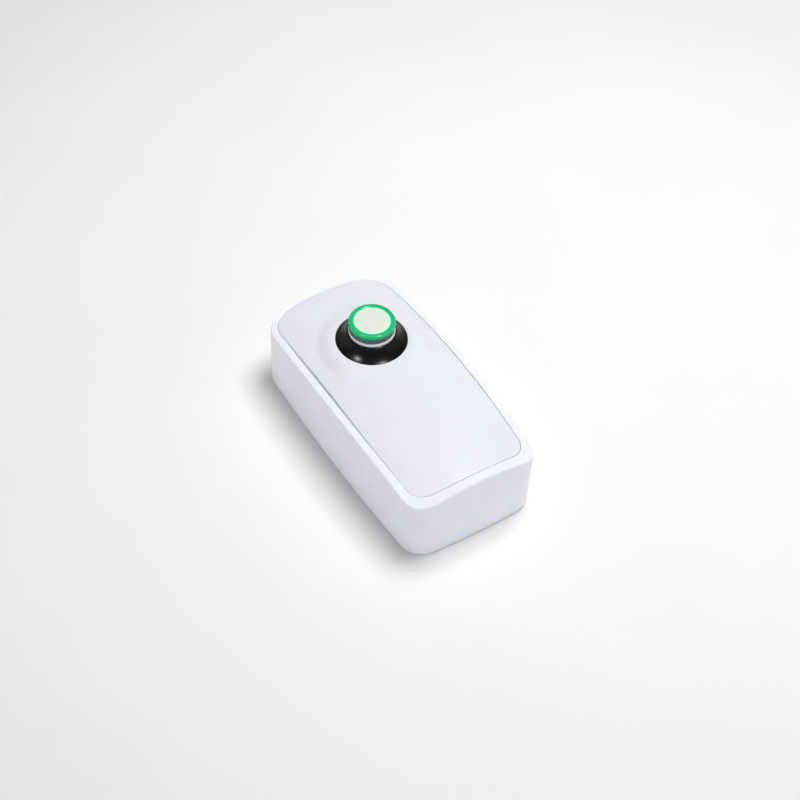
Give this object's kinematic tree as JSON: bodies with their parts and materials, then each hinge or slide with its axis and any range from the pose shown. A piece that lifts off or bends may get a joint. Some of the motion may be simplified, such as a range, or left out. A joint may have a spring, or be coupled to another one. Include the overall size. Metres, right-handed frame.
{
  "type": "pedestrian push button",
  "caption": "Deep rounded housing with a crowned inset front panel and a lit push button that stands in a flared round collar near one end; it bolts flat to a pole or wall.",
  "frame": {"origin": "middle of the back face, the face that meets the pole or wall", "axes": "+Z out of the front, +Y along the housing towards the button, +X across the housing"},
  "size_m": [0.1092, 0.21, 0.0845],
  "materials": {
    "housing_plastic": "satin white moulding",
    "panel_plastic": "satin white moulding",
    "plate_plastic": "matt grey-white moulding",
    "seal_rubber": "matt black",
    "grommet_rubber": "matt black",
    "screw_steel": "plain stainless",
    "brass": "turned",
    "collar_plastic": "glossy black",
    "trim_plastic": "glossy white",
    "nut_plastic": "matt",
    "band_plastic": "dark slate",
    "ring_plastic": "glossy green",
    "lens_plastic": "pale milky lens",
    "natural_plastic": "natural",
    "foot_plastic": "orange",
    "board_laminate": "green solder mask",
    "led_lens": "clear pale green",
    "switch_plastic": "matt black",
    "pin_plastic": "red",
    "terminal_plastic": "green",
    "relay_plastic": "blue",
    "capacitor_sleeve": "dark blue sleeve",
    "chip_plastic": "black"
  },
  "bodies": {
    "enclosure": {"housing": "housing_plastic", "front_panel": "panel_plastic", "back_plate": "plate_plastic", "perimeter_seal": "seal_rubber", "housing_screws": "screw_steel", "screw_seals": "seal_rubber", "screw_inserts": "brass", "cable_grommet": "grommet_rubber", "mount_seals": "seal_rubber", "guard_collar": "collar_plastic", "collar_gasket": "seal_rubber", "trim_barrel": "trim_plastic", "barrel_washer": "screw_steel", "barrel_nut": "nut_plastic", "wiper_seal": "seal_rubber", "return_spring": "screw_steel", "circuit_board": "board_laminate", "board_screws": "screw_steel", "lamp_holder": "natural_plastic", "lamp_board": "natural_plastic", "lamp_leds": "led_lens", "switch_case": "switch_plastic", "switch_cover": "switch_plastic", "switch_terminals": "brass", "switch_axle": "screw_steel", "terminal_block": "terminal_plastic", "terminal_clamps": "screw_steel", "relay": "relay_plastic", "capacitors": "capacitor_sleeve", "board_chips": "chip_plastic"},
    "button": {"cap_body": "band_plastic", "cap_ring": "ring_plastic", "lens": "lens_plastic", "plunger": "natural_plastic", "actuator_foot": "foot_plastic", "retaining_clip": "screw_steel"},
    "lever": {"switch_lever": "screw_steel"},
    "pin": {"switch_pin": "pin_plastic"}
  },
  "joints": [
    {"name": "button_press", "type": "slide", "parent": "enclosure", "child": "button", "axis": [0, 0, -1], "range_m": [0, 0.0018], "stiffness_N_per_m": 800, "springref_m": -0.004, "deforming": ["return_spring"]},
    {"name": "lever_swing", "type": "hinge", "parent": "enclosure", "child": "lever", "pos_m": [0.017, 0.0197, 0.03903], "axis": [-1, 0, 0], "range_deg": [0, 5.6]},
    {"name": "pin_slide", "type": "slide", "parent": "enclosure", "child": "pin", "axis": [0, 0, -1], "range_m": [0, 0.0007]}
  ],
  "couplings": [
    {"joint": "lever_swing", "follows": "button_press", "rad_per_m": 54.054},
    {"joint": "pin_slide", "follows": "button_press", "ratio": 0.35135}
  ]
}
